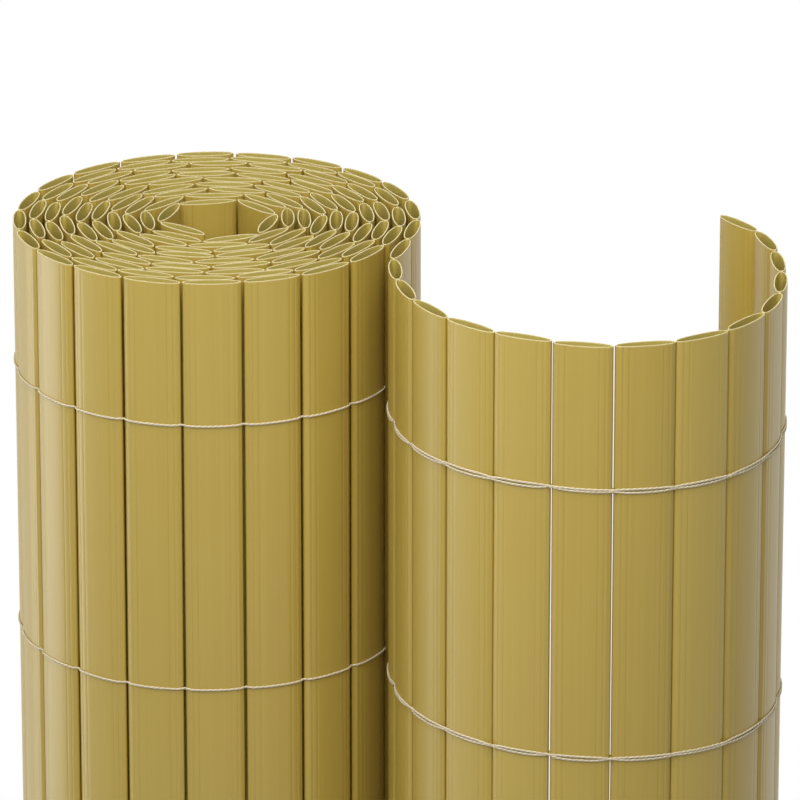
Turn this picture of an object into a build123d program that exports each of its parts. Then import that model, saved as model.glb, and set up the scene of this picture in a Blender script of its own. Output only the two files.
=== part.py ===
from build123d import *
from math import asin, atan2, cos, degrees, floor, pi, radians, sin, sqrt
import os

# PVC screening mat, part rolled up and standing on end: hollow slats of flat oval section, tied
# side by side by rows of twine, with the outer end of the mat let out in an open bend.

# Driving dimensions, in millimetres
mat_height = 1000.0
slat_width = 19.4
slat_thickness = 4.5
slat_crown = 9.7
slat_edge = 0.8
slat_wall = 0.5
slat_gap = 0.6
core_radius = 17.0
turn_clearance = 0.6
twine_thickness = 0.8
twine_clearance = 0.1
twine_spacing = 93.0
twine_top_margin = 49.5
twine_least_bottom_margin = 20.0

# Counts, and angles in degrees seen from above: where the mat leaves the roll, and how far each
# slat of the free end turns from the one before it
slat_count = 145
outer_turn_slats = 20
roll_exit_angle = -18.0
free_end_angles = (-5, 18, 11, 16.5, 18, 15.5, 13.5, 22.5, 19.5, 22.5, 19.5, 13.5, 7.5, 10.5, 21.5)

# Sizes that follow
full_turn = 2 * pi
slat_pitch = slat_width + slat_gap
rolled_slats = slat_count - len(free_end_angles)
twine_inner_side = slat_thickness / 2 + twine_clearance
twine_outer_side = twine_inner_side + twine_thickness
twine_run = mat_height - twine_top_margin - twine_least_bottom_margin
twine_rows = 1 + floor(twine_run / twine_spacing)


# Layout of the mat, seen from above, about the roll's axis


def turn_rise(radius):
    """Distance from one turn to the next that keeps a slat off the slats and the joints beneath it."""
    over_slat = slat_thickness
    over_joint = (slat_thickness + slat_edge) / 2 + slat_pitch**2 / (8 * radius)
    return max(over_slat, over_joint) + turn_clearance


def next_joint(radius, angle):
    """The joint one slat further out along the roll, which winds clockwise from its core."""
    step = 2 * asin(slat_pitch / (2 * radius))
    for _ in range(4):
        outer = radius + turn_rise(radius) * step / full_turn
        step = 2 * asin(sqrt((slat_pitch**2 - (outer - radius) ** 2) / (4 * radius * outer)))
    return outer, angle - step


def along(start, end):
    """Unit vector along a slat's width, from one joint to the next."""
    return (end - start).normalized()


# Joints on the spiral, turned so that the last of them lies where the mat leaves the roll
spiral = [(core_radius, 0.0)]
for _ in range(rolled_slats):
    spiral.append(next_joint(*spiral[-1]))
wound = [angle - spiral[-1][1] for _, angle in spiral]
exit_angle = radians(roll_exit_angle)
joints = []
for (radius, _), angle in zip(spiral, wound):
    joints.append(Vector(radius * cos(exit_angle + angle), radius * sin(exit_angle + angle)))

# Joints of the free end, which bends back from slat to slat
last_slat = along(joints[-2], joints[-1])
heading = atan2(last_slat.Y, last_slat.X)
for angle in free_end_angles:
    heading += radians(angle)
    joints.append(joints[-1] + Vector(cos(heading), sin(heading)) * slat_pitch)


def slat_place(number):
    """Where a slat stands, counted from the core."""
    start, end = joints[number], joints[number + 1]
    direction = along(start, end)
    return Location((start + end) * 0.5, Vector(0, 0, degrees(atan2(direction.Y, direction.X))))


def twine_side(path, offset):
    """Line along the outward face of the slats between these joints, this far from their middle."""
    normals = []
    for start, end in zip(path, path[1:]):
        direction = along(start, end)
        normals.append(Vector(-direction.Y, direction.X))
    points = []
    for joint, before, after in zip(path, normals[:1] + normals, normals + normals[-1:]):
        points.append(joint + (before + after) * (offset / (1 + before.dot(after))))
    return points


# Nodes: the inner slats in a group for each turn, the outer turn and the free end slat by slat
first_outer_slat = rolled_slats - outer_turn_slats
turns = {}
for number in range(first_outer_slat):
    turns.setdefault(floor((wound[number] - wound[first_outer_slat]) / full_turn), []).append(number)

slat_nodes = {}
for turn_number, turns_outside in enumerate(sorted(turns, reverse=True), start=1):
    slat_nodes[f"turn_{turn_number:02d}_slats"] = turns[turns_outside]
for place, number in enumerate(range(first_outer_slat, rolled_slats), start=1):
    slat_nodes[f"outer_slat_{place:02d}"] = [number]
for place, number in enumerate(range(rolled_slats, slat_count), start=1):
    slat_nodes[f"free_slat_{place:02d}"] = [number]

# Slat section: a flat crown on each face, flanks that run down to narrow blunt edges, and a hollow
# that leaves an even wall
half_crown = slat_crown / 2
half_width = slat_width / 2
half_edge = slat_edge / 2
half_thickness = slat_thickness / 2
flank_slope = (half_thickness - half_edge) / (half_width - half_crown)
flank_drop = slat_wall * sqrt(1 + flank_slope**2)
hollow_half_height = half_thickness - slat_wall
hollow_half_crown = half_crown - (flank_drop - slat_wall) / flank_slope
hollow_half_width = half_crown + (half_thickness - flank_drop) / flank_slope

with BuildSketch() as slat_outline:
    with BuildLine():
        Polyline(
            (-half_width, -half_edge),
            (-half_width, half_edge),
            (-half_crown, half_thickness),
            (half_crown, half_thickness),
            (half_width, half_edge),
        )
        Polyline(
            (half_width, half_edge),
            (half_width, -half_edge),
            (half_crown, -half_thickness),
            (-half_crown, -half_thickness),
            (-half_width, -half_edge),
        )
    make_face()

with BuildSketch() as slat_section:
    add(slat_outline.sketch)
    with BuildLine():
        Polyline(
            (-hollow_half_width, 0),
            (-hollow_half_crown, hollow_half_height),
            (hollow_half_crown, hollow_half_height),
            (hollow_half_width, 0),
        )
        Polyline(
            (hollow_half_width, 0),
            (hollow_half_crown, -hollow_half_height),
            (-hollow_half_crown, -hollow_half_height),
            (-hollow_half_width, 0),
        )
    make_face(mode=Mode.SUBTRACT)

# Twine, drawn where it shows: along the outward face of the last turn and of the free end
last_turn_start = next(number for number, angle in enumerate(wound) if angle < full_turn)
twine_path = joints[last_turn_start:]
with BuildSketch() as twine_line:
    with BuildLine():
        outer_side = twine_side(twine_path, twine_outer_side)
        Polyline(*twine_side(twine_path, twine_inner_side), *reversed(outer_side), close=True)
    make_face()

# The origin is on the floor, in the middle of the mat's footprint
with BuildSketch() as footprint:
    with Locations(*[slat_place(number) for number in range(slat_count)]):
        add(slat_outline.sketch)
    add(twine_line.sketch)
footprint_middle = footprint.sketch.bounding_box().center()
floor_plane = Plane(origin=(-footprint_middle.X, -footprint_middle.Y, 0))

os.makedirs("parts", exist_ok=True)

for node, numbers in slat_nodes.items():
    with BuildPart() as slats:
        with BuildSketch(floor_plane):
            with Locations(*[slat_place(number) for number in numbers]):
                add(slat_section.sketch)
        extrude(amount=mat_height)
    slats.part.label = node
    export_step(slats.part, f"parts/{node}.step")

for row in range(twine_rows):
    row_height = mat_height - twine_top_margin - row * twine_spacing
    with BuildPart() as twine:
        with BuildSketch(floor_plane.offset(row_height)):
            add(twine_line.sketch)
        extrude(amount=twine_thickness / 2, both=True)
    twine.part.label = f"twine_row_{row + 1:02d}"
    export_step(twine.part, f"parts/{twine.part.label}.step")
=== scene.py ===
import math
import random

import bmesh
import bpy
from mathutils import Matrix, Vector


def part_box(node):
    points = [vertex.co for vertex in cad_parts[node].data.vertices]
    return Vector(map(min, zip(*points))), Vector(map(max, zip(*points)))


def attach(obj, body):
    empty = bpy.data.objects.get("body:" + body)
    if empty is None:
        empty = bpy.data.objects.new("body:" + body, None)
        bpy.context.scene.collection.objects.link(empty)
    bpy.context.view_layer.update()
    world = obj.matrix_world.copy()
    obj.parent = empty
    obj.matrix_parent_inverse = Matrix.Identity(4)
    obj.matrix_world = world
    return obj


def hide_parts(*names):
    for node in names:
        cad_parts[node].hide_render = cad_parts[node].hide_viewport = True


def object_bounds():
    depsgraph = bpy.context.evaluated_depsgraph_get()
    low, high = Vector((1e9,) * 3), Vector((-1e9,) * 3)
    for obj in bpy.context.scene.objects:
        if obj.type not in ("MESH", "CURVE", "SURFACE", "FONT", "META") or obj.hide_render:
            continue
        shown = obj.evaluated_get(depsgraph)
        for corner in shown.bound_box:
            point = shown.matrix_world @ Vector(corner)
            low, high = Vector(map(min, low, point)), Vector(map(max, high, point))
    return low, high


# Part-rolled PVC screening mat: hollow slats with fine extrusion lines and pale cut ends, tied in rows
# with twisted twine. Lengths are in metres.

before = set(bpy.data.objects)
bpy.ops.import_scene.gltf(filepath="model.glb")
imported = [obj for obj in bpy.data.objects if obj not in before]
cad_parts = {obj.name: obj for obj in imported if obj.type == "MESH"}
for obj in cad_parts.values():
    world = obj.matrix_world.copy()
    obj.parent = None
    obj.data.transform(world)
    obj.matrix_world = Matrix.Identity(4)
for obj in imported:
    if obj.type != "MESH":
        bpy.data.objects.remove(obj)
cad_box = [list(corner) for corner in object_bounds()]
SEED = 7
draw = random.Random(SEED)

# Slat form. A share across runs from -1 at one edge of a slat to 1 at the other
FACE_POWER = 2.6
EDGE_SHARE = 0.36
CORE_EDGE_SHARE = 0.2
CORE_NODES = ("turn_01_slats", "turn_02_slats")
EDGE_BENT_FROM = 0.86
EDGE_BENT_TO = 0.3
EDGE_BEND_POWER = 1.2
FACE_STEPS = (0.15, 0.3, 0.45, 0.66, 0.83, 0.85, 0.865, 0.88, 0.91, 0.94, 0.97, 1.0)
GROOVE_SHARES = (0.565, 0.765)
GROOVE_WIDTH = 0.016
GROOVE_DEPTH = 0.00008
GROOVE_STEPS = (-2, -1, 0, 1, 2)
WALL = 0.00042
EDGE_WALL = 0.0007
HOLLOW_EDGE = 0.00012
RIM_DEPTH = 0.00025
RIM_BEVEL = 0.00005
CUT_UNEVENNESS = 0.0005
LEAN = math.radians(1.2)
SWAY = 0.00004
SWAY_WAVES = 2
SWAY_TURNS = (6, 22)
SWAY_LEVELS = 24

# Gaps between the slats: on the outer turn, and before each slat of the free end, where the twine draws
# some of them together
ROLL_GAP = 0.0008
FREE_GAPS = (0.0006, 0.0005, 0.0004, 0.0003, 0.0002, 0.0001, 0.00052, 0.00034, 0.0001, 0.0001,
             0.0002, 0.0003, 0.0004, 0.0005, 0.0006)

# Twine form. A strand has points over each slat at these shares across
OVER_SHARES = (-0.97, -0.85, -0.6, -0.3, 0.0, 0.3, 0.6, 0.85, 0.97)
STRAND_SIDES = 8
STRAND_STEP = 0.00045
STRAND_LAY = 0.0036
STRAND_LOBE = 0.1
STRAND_FLATNESS = 0.7
STRAND_WANDER = 0.0002
STRAND_IN_OPEN_GAP = 0.0003
STRAND_OVER_CLOSED_GAP = 0.002
STRAND_LEAVES_FACE = 0.6
PAIR_SPREAD = 0.0005
PAIR_UNEVENNESS = 0.00012
PAIR_PINCH = 0.00025
PAIR_CLOSING_POWER = 4
PAIR_CROSSING_CHANCE = 0.4
TIE_SHARE = 0.8
KNOT_CHANCE = 0.6
KNOT_RADIUS = 0.00052
KNOT_CORD = 0.00022
KNOT_STEPS = 12
KNOT_SIDES = 6
# A knot's cord carries this share of the twine's painted furrow shade all over
KNOT_FURROW_SHADE = 0.3
KNOT_TILT = math.radians(25)
TAIL_LENGTH = 0.009
TAIL_SHARES = (0.15, 0.5, 1.0)
TAIL_OFFSET = 0.0004

WELD = 1e-6
NEARLY_UPRIGHT = 0.1
UP = Vector((0, 0, 1))
SIDEWAYS = Vector((1, 0, 0))


# Where the slats stand, read from the solids


class SlatPlace:
    """One slat seen from above: its middle, which way its width runs and its half sizes."""

    def __init__(self, corners):
        self.middle = sum(corners, Vector()) / len(corners)
        reach = [corner - self.middle for corner in corners]
        spread_x = sum(r.x * r.x for r in reach)
        spread_y = sum(r.y * r.y for r in reach)
        spread_xy = sum(r.x * r.y for r in reach)
        angle = math.atan2(2 * spread_xy, spread_x - spread_y) / 2
        self.along = Vector((math.cos(angle), math.sin(angle), 0))
        self.half_width = max(abs(r.dot(self.along)) for r in reach)
        self.half_thickness = max(abs(r.dot(self.outward())) for r in reach)
        self.bottom = min(corner.z for corner in corners)
        self.top = max(corner.z for corner in corners)
        self.middle.z = 0
        self.edge_share = EDGE_SHARE
        self.along = Matrix.Rotation(draw.uniform(-LEAN, LEAN), 3, "Z") @ self.along

    def outward(self):
        return Vector((-self.along.y, self.along.x, 0))

    def run_towards(self, point):
        if self.along.dot(point - self.middle) < 0:
            self.along = -self.along

    def end(self, sense):
        return self.middle + self.along * (sense * self.half_width)

    def move_end(self, sense, amount):
        self.middle = self.middle + self.along * (sense * amount / 2)
        self.half_width += amount / 2


def gap_between(here, there):
    return (there.end(-1) - here.end(1)).length


def set_gap(here, there, gap):
    """Leaves this gap between two neighbours, both of which are drawn that little wider or narrower."""
    change = (gap_between(here, there) - gap) / 2
    here.move_end(1, change)
    there.move_end(-1, change)


def islands(solid):
    """The separate solids of a welded mesh, as lists of vertices."""
    seen = set()
    for first in solid.verts:
        if first in seen:
            continue
        seen.add(first)
        island = [first]
        for vertex in island:
            for edge in vertex.link_edges:
                other = edge.other_vert(vertex)
                if other not in seen:
                    seen.add(other)
                    island.append(other)
        yield island


def slat_places(node):
    """The slats of one node of the frame."""
    solid = bmesh.new()
    solid.from_mesh(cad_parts[node].data)
    bmesh.ops.remove_doubles(solid, verts=solid.verts, dist=WELD)
    places = [SlatPlace([vertex.co.copy() for vertex in island]) for island in islands(solid)]
    solid.free()
    return places


def nodes_named(beginning):
    return sorted(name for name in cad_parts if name.startswith(beginning))


# Mesh making


class MeshParts:
    """Vertices and faces gathered for one piece, with a number for each vertex under each name."""

    def __init__(self, *names):
        self.points = []
        self.faces = []
        self.finishes = []
        self.flat = []
        self.numbers = {name: [] for name in names}

    def ring(self, points, **numbers):
        """Adds points and gives back their places in the list. A number is one for all or one for each."""
        first = len(self.points)
        self.points.extend(points)
        for name, values in numbers.items():
            each = values if isinstance(values, list) else [values] * len(points)
            self.numbers[name].extend(each)
        return list(range(first, len(self.points)))

    def band(self, one, other, finish=0, flat=False):
        """Quads between two closed rings of equal length."""
        for at in range(len(one)):
            onward = (at + 1) % len(one)
            self.faces.append((one[at], one[onward], other[onward], other[at]))
            self.finishes.append(finish)
            self.flat.append(flat)

    def cap(self, ring, finish=0):
        self.faces.append(tuple(ring))
        self.finishes.append(finish)
        self.flat.append(True)

    def piece(self, name, *materials):
        mesh = bpy.data.meshes.new(name)
        mesh.from_pydata(self.points, [], self.faces)
        for material in materials:
            mesh.materials.append(material)
        mesh.polygons.foreach_set("material_index", self.finishes)
        mesh.polygons.foreach_set("use_smooth", [not flat for flat in self.flat])
        for key, values in self.numbers.items():
            mesh.attributes.new(key, "FLOAT", "POINT").data.foreach_set("value", values)
        mesh.validate()
        mesh.update()
        piece = bpy.data.objects.new(name, mesh)
        bpy.context.scene.collection.objects.link(piece)
        return piece


# Slats


def face_height(place, across):
    """Half thickness of a slat at a share across."""
    share = abs(across)
    height = 1 - (1 - place.edge_share) * share**FACE_POWER
    past = max(0, share - EDGE_BENT_FROM) / (1 - EDGE_BENT_FROM)
    return place.half_thickness * height * (1 - (1 - EDGE_BENT_TO) * past**EDGE_BEND_POWER)


def groove(across):
    """How deep the fine lines along the edges of a slat's face are at a share across."""
    return sum(GROOVE_DEPTH * math.exp(-((abs(across) - at) / GROOVE_WIDTH) ** 2) for at in GROOVE_SHARES)


def face_shares():
    """Shares across at which a face has points, closer together over its grooves."""
    half = list(FACE_STEPS)
    for at in GROOVE_SHARES:
        half += [at + GROOVE_WIDTH * step for step in GROOVE_STEPS]
    half.sort()
    return [-share for share in reversed(half)] + [0.0] + half


FACE_SHARES = face_shares()


def slat_outline(place, inset=0.0):
    """Outer outline of a slat's section, as (width, thickness) points over one face and back."""
    half_width = place.half_width - inset
    face = []
    for share in FACE_SHARES:
        face.append((share * half_width, face_height(place, share) - groove(share) - inset))
    return face + [(-width, -height) for width, height in face]


def hollow_outline(place, inset=0.0):
    """Outline of a slat's hollow, with as many points as the outer one."""
    half_width = place.half_width - EDGE_WALL + inset
    face = []
    for share in FACE_SHARES:
        width = share * half_width
        height = face_height(place, width / place.half_width) - WALL + inset
        face.append((width, max(HOLLOW_EDGE, height)))
    return face + [(-width, -height) for width, height in face]


def sway():
    """A slight smooth wandering of a slat along its height, from waves of its own."""
    waves = [(draw.uniform(*SWAY_TURNS), draw.uniform(0, math.tau)) for _ in range(SWAY_WAVES)]
    return lambda height: sum(SWAY * math.sin(turn * height + start) for turn, start in waves)


def no_sway(height):
    return 0.0


def add_slat(parts, place, levels):
    """One slat: outer face, hollow and the two cut ends between them, each with a fine bevelled rim."""
    top = place.top - draw.random() * CUT_UNEVENNESS
    bottom = place.bottom
    tone = draw.uniform(-1, 1)
    wandering = sway() if levels > 1 else no_sway

    def level(outline, height):
        middle = place.middle + place.along * wandering(height) + UP * height
        points = [middle + place.along * width + place.outward() * rise for width, rise in outline]
        across = [width / place.half_width for width, _ in outline]
        return parts.ring(points, across=across, tone=tone)

    outer, outer_rim = slat_outline(place), slat_outline(place, RIM_BEVEL)
    hollow, hollow_rim = hollow_outline(place), hollow_outline(place, RIM_BEVEL)
    low, high = bottom + RIM_DEPTH, top - RIM_DEPTH
    heights = [low + (high - low) * step / levels for step in range(levels + 1)]
    outside = [level(outer, height) for height in heights]
    for below, above in zip(outside, outside[1:]):
        parts.band(above, below)
    parts.band(level(hollow, low), level(hollow, high), finish=1)
    top_rings = [level(outer, high), level(outer_rim, top), level(hollow_rim, top), level(hollow, high)]
    low_rings = [level(hollow, low), level(hollow_rim, bottom), level(outer_rim, bottom), level(outer, low)]
    for rings in (top_rings, low_rings):
        for one, other in zip(rings, rings[1:]):
            parts.band(other, one, finish=2, flat=True)


# Twine


def over_slat(place, across, rise):
    """Point over a slat's face, this far from its middle."""
    return place.middle + place.along * (across * place.half_width) + place.outward() * rise


def between_slats(here, there, rise):
    """Point in the gap between two slats."""
    normal = (here.outward() + there.outward()).normalized()
    return (here.end(1) + there.end(-1)) / 2 + normal * rise


def rise_in_gap(here, there, radius):
    """How far from the middle of the slats a strand passes a gap: it sinks into an open one."""
    sunk = min(1, gap_between(here, there) / (2 * radius))
    return STRAND_OVER_CLOSED_GAP + (STRAND_IN_OPEN_GAP - STRAND_OVER_CLOSED_GAP) * sunk


def smooth_line(points, step):
    """Points at even steps along a smooth line through the given ones."""
    line = []
    for at in range(len(points) - 1):
        before = points[max(at - 1, 0)]
        start, end = points[at], points[at + 1]
        after = points[min(at + 2, len(points) - 1)]
        count = max(1, round((end - start).length / step))
        for part in range(count):
            t = part / count
            line.append(0.5 * (2 * start + (end - before) * t
                               + (2 * before - 5 * start + 4 * end - after) * t * t
                               + (3 * start - before - 3 * end + after) * t**3))
    line.append(points[-1])
    return line


def add_strand(parts, points, radius):
    """A two-ply twisted strand along a line, pressed a little flat against the slats."""
    line = smooth_line(points, STRAND_STEP)
    rings = []
    turned = draw.uniform(0, math.tau)
    for at, point in enumerate(line):
        tangent = (line[min(at + 1, len(line) - 1)] - line[max(at - 1, 0)]).normalized()
        level = tangent.cross(UP)
        if level.length < NEARLY_UPRIGHT:
            level = tangent.cross(SIDEWAYS)
        level.normalize()
        upright = level.cross(tangent)
        if at:
            turned += math.tau * (point - line[at - 1]).length / STRAND_LAY
        ring, furrow = [], []
        for side in range(STRAND_SIDES):
            angle = math.tau * side / STRAND_SIDES
            lobe = math.cos(2 * (angle - turned))
            reach = radius * (1 + STRAND_LOBE * lobe)
            spoke = level * (STRAND_FLATNESS * math.cos(angle)) + upright * math.sin(angle)
            ring.append(point + spoke * reach)
            furrow.append((1 - lobe) / 2)
        rings.append(parts.ring(ring, furrow=furrow))
    for one, other in zip(rings, rings[1:]):
        parts.band(one, other)
    parts.cap(rings[0][::-1])
    parts.cap(rings[-1])


def add_knot(parts, point, axis):
    """A turn of cord drawn tight round the strands in a gap."""
    level = axis.cross(UP).normalized()
    tilt = Matrix.Rotation(draw.uniform(-KNOT_TILT, KNOT_TILT), 3, level)
    rings = []
    for step in range(KNOT_STEPS):
        angle = math.tau * step / KNOT_STEPS
        spoke = tilt @ (level * math.cos(angle) + UP * math.sin(angle))
        ring = []
        for side in range(KNOT_SIDES):
            around = math.tau * side / KNOT_SIDES
            reach = KNOT_RADIUS + KNOT_CORD * math.cos(around)
            ring.append(point + spoke * reach + tilt @ axis * (KNOT_CORD * math.sin(around)))
        rings.append(parts.ring(ring, furrow=KNOT_FURROW_SHADE))
    for at in range(KNOT_STEPS):
        parts.band(rings[at], rings[(at + 1) % KNOT_STEPS])


def strand_over(places, side, radius, heights):
    """Points of a strand over a run of slats, on their outward side for 1 and their inward side for -1, with
    the height that the given function has at each share. It lies on a slat's face and runs straight from
    there to the gaps."""
    lift = radius * STRAND_FLATNESS
    rises = [rise_in_gap(here, there, radius) for here, there in zip(places, places[1:])]
    ends = [0.0] + rises + [0.0]
    points = []
    for number, place in enumerate(places):
        leaves = face_height(place, STRAND_LEAVES_FACE) + lift
        for share in OVER_SHARES:
            rise = face_height(place, share) + lift
            if abs(share) > STRAND_LEAVES_FACE:
                end = ends[number + 1] if share > 0 else ends[number]
                rise = max(rise, end + (leaves - end) * (1 - abs(share)) / (1 - STRAND_LEAVES_FACE))
            points.append(over_slat(place, share, side * rise) + UP * heights(number, share))
        if number < len(rises):
            gap = between_slats(place, places[number + 1], side * rises[number])
            points.append(gap + UP * heights(number, 1))
    return points


def wander(count, amount):
    return [draw.uniform(-amount, amount) for _ in range(count + 1)]


def twine_row(node, outer_slats, free_slats):
    """One row of twine. A strand runs over the outward face, turns round the last slat and comes back as
    one of the two strands over the inward face of the free end. Those cross at some gaps, are knotted at
    others and are tied through each gap to the outward strand."""
    low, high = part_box(node)
    height = (low.z + high.z) / 2
    radius = (high.z - low.z) / 2
    chain = outer_slats + free_slats
    parts = MeshParts("furrow")

    steps = wander(len(chain), STRAND_WANDER)

    def outward_height(number, share):
        return height + steps[number] + (steps[number + 1] - steps[number]) * (share + 1) / 2

    middles = wander(len(free_slats), STRAND_WANDER)
    spreads = []
    sense = 1
    for _ in free_slats:
        sense = -sense if draw.random() < PAIR_CROSSING_CHANCE else sense
        spreads.append(sense * (PAIR_SPREAD + draw.uniform(-PAIR_UNEVENNESS, PAIR_UNEVENNESS)))
    pinches = [0.0]
    for before, after in zip(spreads, spreads[1:]):
        pinches.append(math.copysign(PAIR_PINCH, after) if before * after > 0 else 0.0)
    pinches.append(0.0)

    def pair_height(strand):
        def inward_height(number, share):
            middle = middles[number] + (middles[number + 1] - middles[number]) * (share + 1) / 2
            pinch = pinches[number + 1] if share > 0 else pinches[number]
            apart = pinch + (spreads[number] - pinch) * (1 - abs(share) ** PAIR_CLOSING_POWER)
            return height + middle + strand * apart
        return inward_height

    outward_run = strand_over(chain, 1, radius, outward_height)
    tip = free_slats[-1].end(1) + free_slats[-1].along * radius + UP * height
    first = strand_over(free_slats, -1, radius, pair_height(1))
    second = strand_over(free_slats, -1, radius, pair_height(-1))
    add_strand(parts, outward_run + [tip] + first[::-1], radius)
    tail = second[-1] + UP * (height - second[-1].z) + free_slats[-1].along * TAIL_OFFSET
    drop = [tail - UP * (TAIL_LENGTH * share) for share in TAIL_SHARES]
    add_strand(parts, second + drop, radius)
    for here, there in zip(free_slats, free_slats[1:]):
        rise = rise_in_gap(here, there, radius)
        tie = [between_slats(here, there, side * rise) + UP * height for side in (1, 0, -1)]
        add_strand(parts, tie, min(radius * TIE_SHARE, gap_between(here, there) / 2))
        if draw.random() < KNOT_CHANCE:
            add_knot(parts, tie[-1], (here.along + there.along).normalized())
    return parts


# Materials


class Channel:
    """An output of a node. Arithmetic on it adds Math nodes."""

    def __init__(self, nodes, socket):
        self.nodes = nodes
        self.socket = socket

    def maths(self, operation, one, other):
        return self.nodes.node("ShaderNodeMath", {"operation": operation}, [one, other])

    def __add__(self, other):
        return self.maths("ADD", self, other)

    def __radd__(self, other):
        return self.maths("ADD", other, self)

    def __sub__(self, other):
        return self.maths("SUBTRACT", self, other)

    def __rsub__(self, other):
        return self.maths("SUBTRACT", other, self)

    def __mul__(self, other):
        return self.maths("MULTIPLY", self, other)

    def __rmul__(self, other):
        return self.maths("MULTIPLY", other, self)

    def __abs__(self):
        return self.maths("ABSOLUTE", self, 0.0)


class Nodes:
    """The nodes of a material or of the world."""

    def __init__(self, holder):
        holder.use_nodes = True
        self.holder = holder
        self.tree = holder.node_tree
        self.tree.nodes.clear()

    def node(self, kind, settings=None, inputs=(), output=0):
        """Adds a node, sets it, then gives its inputs their values or links, by name or in order."""
        node = self.tree.nodes.new(kind)
        for key, value in (settings or {}).items():
            if key == "stops":
                self.set_stops(node.color_ramp, value)
            else:
                setattr(node, key, value)
        pairs = inputs.items() if isinstance(inputs, dict) else enumerate(inputs)
        for key, value in pairs:
            if isinstance(value, Channel):
                self.tree.links.new(value.socket, node.inputs[key])
            else:
                node.inputs[key].default_value = value
        if node.outputs:
            return Channel(self, node.outputs[output])

    @staticmethod
    def set_stops(ramp, stops):
        while len(ramp.elements) < len(stops):
            ramp.elements.new(1.0)
        for element, (place, tint) in zip(ramp.elements, stops):
            element.position = place
            element.color = (*tint, 1)

    def number(self, name):
        """A number that the mesh holds for each vertex."""
        return self.node("ShaderNodeAttribute", {"attribute_name": name}, output="Fac")

    def noise(self, scale, detail=2.0, roughness=0.5):
        """Noise in the object's own space, stretched by a scale for each axis."""
        place = self.node("ShaderNodeTexCoord", output="Object")
        stretched = self.node("ShaderNodeVectorMath", {"operation": "MULTIPLY"}, [place, scale])
        inputs = {"Vector": stretched, "Scale": 1.0, "Detail": detail, "Roughness": roughness}
        return self.node("ShaderNodeTexNoise", {}, inputs, output="Fac")

    def smooth_step(self, value, low, high):
        settings = {"interpolation_type": "SMOOTHSTEP"}
        return self.node("ShaderNodeMapRange", settings, {"Value": value, "From Min": low, "From Max": high})

    def blend(self, share, one, other):
        """Colour between two, by a share."""
        tints = [tint if isinstance(tint, Channel) else (*tint, 1) for tint in (one, other)]
        return self.node("ShaderNodeMix", {"data_type": "RGBA"}, {0: share, 6: tints[0], 7: tints[1]}, 2)

    def bump(self, height, strength, distance):
        return self.node("ShaderNodeBump", {}, {"Height": height, "Strength": strength, "Distance": distance})

    def seen_white(self):
        """1 for rays from the camera, off gloss or through glass, which see the white round the mat."""
        rays = ("Is Camera Ray", "Is Glossy Ray", "Is Transmission Ray")
        camera, glossy, through = (self.node("ShaderNodeLightPath", output=ray) for ray in rays)
        return camera + glossy + through

    def surface(self, **sockets):
        inputs = {name.replace("_", " "): value for name, value in sockets.items()}
        shader = self.node("ShaderNodeBsdfPrincipled", {}, inputs)
        self.node("ShaderNodeOutputMaterial", {}, {"Surface": shader})
        return self.holder


def finish(name):
    return Nodes(bpy.data.materials.new(name))


BAMBOO = (0.44, 0.318, 0.061)
BAMBOO_PALE = (0.475, 0.348, 0.08)
BAMBOO_DEEP = (0.385, 0.27, 0.044)
# Painted shade at the slats' very edges, beside the gaps
BAMBOO_EDGE_PAINTED_SHADE = (0.33, 0.21, 0.015)
HOLLOW_OLIVE = (0.44, 0.35, 0.075)
HOLLOW_PALE = (0.487, 0.397, 0.105)
CUT_CREAM = (0.535, 0.447, 0.207)
CUT_SHADE = (0.45, 0.368, 0.138)
TWINE_CREAM = (0.68, 0.60, 0.42)
# Painted shade in the furrow between the twine's plies
TWINE_FURROW_PAINTED_SHADE = (0.36, 0.29, 0.17)

STREAK_SCALE = (1400.0, 1400.0, 6.0)
BROAD_SCALE = (260.0, 260.0, 1.6)
GRAIN_SCALE = (5000.0, 5000.0, 60.0)
SAW_SCALE = (2600.0, 2600.0, 2600.0)
FIBRE_SCALE = (4200.0, 4200.0, 4200.0)
FINE_DETAIL = 3.0

TONE_SHARE = 0.2
STREAK_SHARE = 0.45
BROAD_SHARE = 0.45
# How much darker the face is drawn over its grooves, as painted shade
GROOVE_PAINTED_SHADE = 0.4
EDGE_SHADE_FROM = 0.96
EDGE_SHADE_TO = 0.99
FURROW_SHADE_SHARE = 0.7
FIBRE_SHARE = 0.6


def slat_face_finish():
    """Satin PVC with fine streaks along the extrusion, painted shade over the grooves beside each edge and a
    band of painted shade at the very edges.
    """
    face = finish("slat_face")
    across = abs(face.number("across"))
    tone = face.number("tone")
    streaks = face.noise(STREAK_SCALE)
    broad = face.noise(BROAD_SCALE)
    share = 0.5 + tone * TONE_SHARE + (streaks - 0.5) * STREAK_SHARE + (broad - 0.5) * BROAD_SHARE
    # painted shade: the face is drawn darker over its grooves
    for at in GROOVE_SHARES:
        share = share - GROOVE_PAINTED_SHADE * (1 - face.smooth_step(abs(across - at), 0.0, 2 * GROOVE_WIDTH))
    ramp = {"stops": [(0.0, BAMBOO_DEEP), (0.5, BAMBOO), (1.0, BAMBOO_PALE)]}
    middle = face.node("ShaderNodeValToRGB", ramp, [share])
    # painted shade: the face is drawn darker brown at its very edges, beside the gaps
    tint = face.blend(face.smooth_step(across, EDGE_SHADE_FROM, EDGE_SHADE_TO), middle, BAMBOO_EDGE_PAINTED_SHADE)
    grain = face.noise(GRAIN_SCALE)
    normal = face.bump(streaks * 0.7 + grain * 0.3, strength=0.12, distance=0.0002)
    return face.surface(Base_Color=tint, Roughness=0.33 + streaks * 0.1, Normal=normal)


def slat_hollow_finish():
    """The inside of a slat, a little paler than its face, as the thin wall lets some light through."""
    hollow = finish("slat_hollow")
    streaks = hollow.noise(STREAK_SCALE)
    tint = hollow.blend(streaks, HOLLOW_OLIVE, HOLLOW_PALE)
    return hollow.surface(Base_Color=tint, Roughness=0.5)


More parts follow.
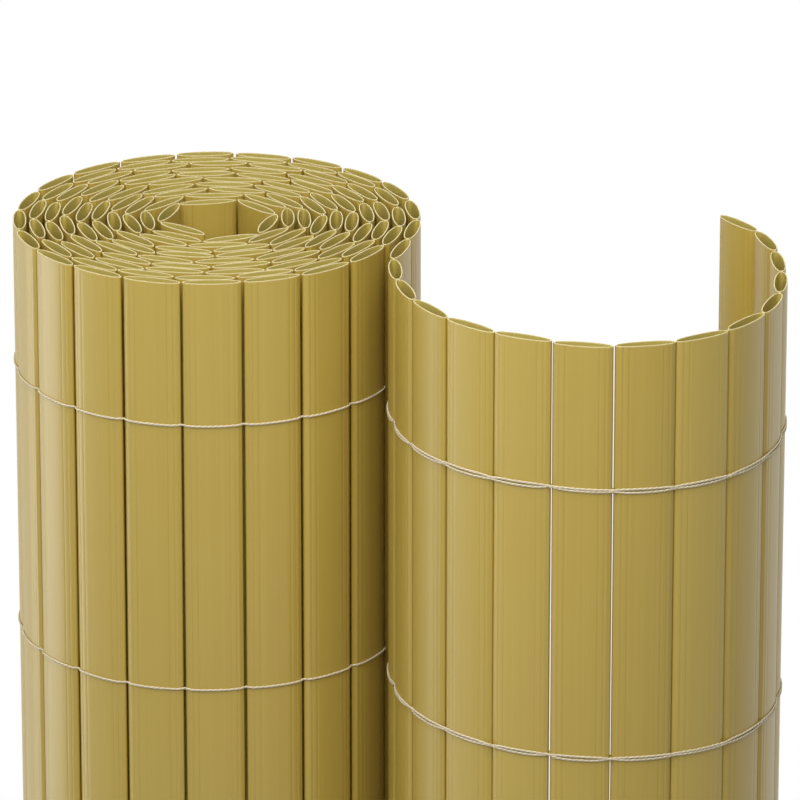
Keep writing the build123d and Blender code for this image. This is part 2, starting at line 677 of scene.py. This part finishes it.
def slat_cut_finish():
    """Sawn ends of the slats, pale and slightly rough."""
    cut = finish("slat_cut")
    marks = cut.noise(SAW_SCALE, FINE_DETAIL)
    tint = cut.blend(cut.smooth_step(marks, low=0.3, high=0.6), CUT_SHADE, CUT_CREAM)
    normal = cut.bump(marks, strength=0.3, distance=0.0001)
    return cut.surface(Base_Color=tint, Roughness=0.6, Normal=normal)


def twine_finish():
    """Undyed twisted twine, with painted shade in the furrow between its plies."""
    twine = finish("twine_strand")
    furrow = twine.number("furrow")
    fibres = twine.noise(FIBRE_SCALE, FINE_DETAIL)
    share = furrow * FURROW_SHADE_SHARE + (fibres - 0.5) * FIBRE_SHARE
    tint = twine.blend(share, TWINE_CREAM, TWINE_FURROW_PAINTED_SHADE)
    normal = twine.bump(fibres, strength=0.5, distance=0.0002)
    return twine.surface(Base_Color=tint, Roughness=0.85, Normal=normal)


# The mat

turns = nodes_named("turn_")
places = {node: slat_places(node) for node in turns + nodes_named("outer_slat_") + nodes_named("free_slat_")}
for node in CORE_NODES:
    for place in places[node]:
        place.edge_share = CORE_EDGE_SHARE

outer_slats = [places[node][0] for node in nodes_named("outer_slat_")]
free_slats = [places[node][0] for node in nodes_named("free_slat_")]
chain = outer_slats + free_slats
for here, there in zip(chain, chain[1:]):
    here.run_towards(there.middle)
chain[-1].run_towards(2 * chain[-1].middle - chain[-2].middle)
gaps = [ROLL_GAP] * (len(outer_slats) - 1) + list(FREE_GAPS)
for here, there, gap in zip(chain, chain[1:], gaps):
    set_gap(here, there, gap)

slat_finishes = (slat_face_finish(), slat_hollow_finish(), slat_cut_finish())
for node in places:
    slats = MeshParts("across", "tone")
    for place in places[node]:
        add_slat(slats, place, 1 if node in turns else SWAY_LEVELS)
    piece = slats.piece("fine_" + node, *slat_finishes)
    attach(piece, "root")
    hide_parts(node)

twine_strand = twine_finish()
for node in nodes_named("twine_row_"):
    piece = twine_row(node, outer_slats, free_slats).piece("fine_" + node, twine_strand)
    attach(piece, "root")
    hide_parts(node)


# Floor, light and camera

FLOOR_RADIUS = 6.0
FLOOR_SIDES = 64
FLOOR_CLEAR_FROM = 0.5
FLOOR_CLEAR_TO = 1.4
FLOOR_GREY = (0.86, 0.86, 0.86, 1)
WHITE = (1, 1, 1, 1)
AMBIENT = 0.15
LIGHT_AIM = Vector((0.0, 0.0, 0.92))

# Each light's place, its width and height, and its power
LIGHTS = {
    "key_light": ((0.1, -0.65, 1.75), (1.1, 1.1), 5.8),
    "near_light": ((-0.15, -0.5, 1.5), (0.7, 0.7), 4.4),
    "left_light": ((-2.0, 0.25, 1.3), (1.4, 2.0), 11),
    "low_left_light": ((-1.8, 0.6, 0.6), (0.7, 1.2), 10),
    "top_light": ((0.0, -0.1, 1.9), (0.7, 0.7), 4.5),
    "right_light": ((1.6, 0.85, 0.7), (0.6, 1.2), 2),
    "back_light": ((0.3, 2.4, 1.3), (1.6, 2.0), 30),
}

# The camera's offset is from the middle of the mat's top
CAMERA_LENS = 360.0
CAMERA_SENSOR = 36.0
CAMERA_REACH = 50.0
CAMERA_OFFSET = Vector((0.0018, -2.4744, 0.8806))
CAMERA_PITCH = math.radians(69.296)


def floor_finish():
    """White floor that keeps the mat's shadow and fades into the white round it."""
    floor = finish("floor_white")
    place = floor.node("ShaderNodeTexCoord", output="Object")
    away = floor.node("ShaderNodeVectorMath", {"operation": "LENGTH"}, [place], output="Value")
    clear = floor.smooth_step(away, FLOOR_CLEAR_FROM, FLOOR_CLEAR_TO)
    matt = floor.node("ShaderNodeBsdfDiffuse", {}, {"Color": FLOOR_GREY})
    white = floor.node("ShaderNodeEmission", {}, {"Color": WHITE, "Strength": 1.0})
    mixed = floor.node("ShaderNodeMixShader", {}, [clear * floor.seen_white(), matt, white])
    floor.node("ShaderNodeOutputMaterial", {}, {"Surface": mixed})
    return floor.holder


def add_floor():
    mesh = bmesh.new()
    bmesh.ops.create_circle(mesh, cap_ends=True, segments=FLOOR_SIDES, radius=FLOOR_RADIUS)
    data = bpy.data.meshes.new("floor")
    mesh.to_mesh(data)
    mesh.free()
    data.materials.append(floor_finish())
    disc = bpy.data.objects.new("floor", data)
    bpy.context.scene.collection.objects.link(disc)


def add_light(name, place, size, power):
    """A soft rectangular light, width by height, aimed at the mat's upper part."""
    light = bpy.data.lights.new(name, "AREA")
    light.shape = "RECTANGLE"
    light.size, light.size_y = size
    light.energy = power
    lamp = bpy.data.objects.new(name, light)
    lamp.location = place
    lamp.rotation_euler = (LIGHT_AIM - Vector(place)).to_track_quat("-Z", "Y").to_euler()
    bpy.context.scene.collection.objects.link(lamp)


def add_world(ambient):
    """White all round, which lights the mat at the given strength."""
    world = bpy.data.worlds.new("studio")
    bpy.context.scene.world = world
    nodes = Nodes(world)
    strength = ambient + (1 - ambient) * nodes.seen_white()
    white = nodes.node("ShaderNodeBackground", {}, {"Color": WHITE, "Strength": strength})
    nodes.node("ShaderNodeOutputWorld", {}, {"Surface": white})


add_floor()
add_world(AMBIENT)
for name, (place, size, power) in LIGHTS.items():
    add_light(name, place, size, power)

camera = bpy.data.objects.new("camera", bpy.data.cameras.new("camera"))
camera.data.lens = CAMERA_LENS
camera.data.sensor_width = CAMERA_SENSOR
camera.data.clip_end = CAMERA_REACH
low, high = (Vector(corner) for corner in cad_box)
camera.location = Vector(((low.x + high.x) / 2, (low.y + high.y) / 2, high.z)) + CAMERA_OFFSET
camera.rotation_euler = (CAMERA_PITCH, 0, 0)
bpy.context.scene.collection.objects.link(camera)
bpy.context.scene.camera = camera
bpy.context.scene.view_settings.view_transform = "Standard"
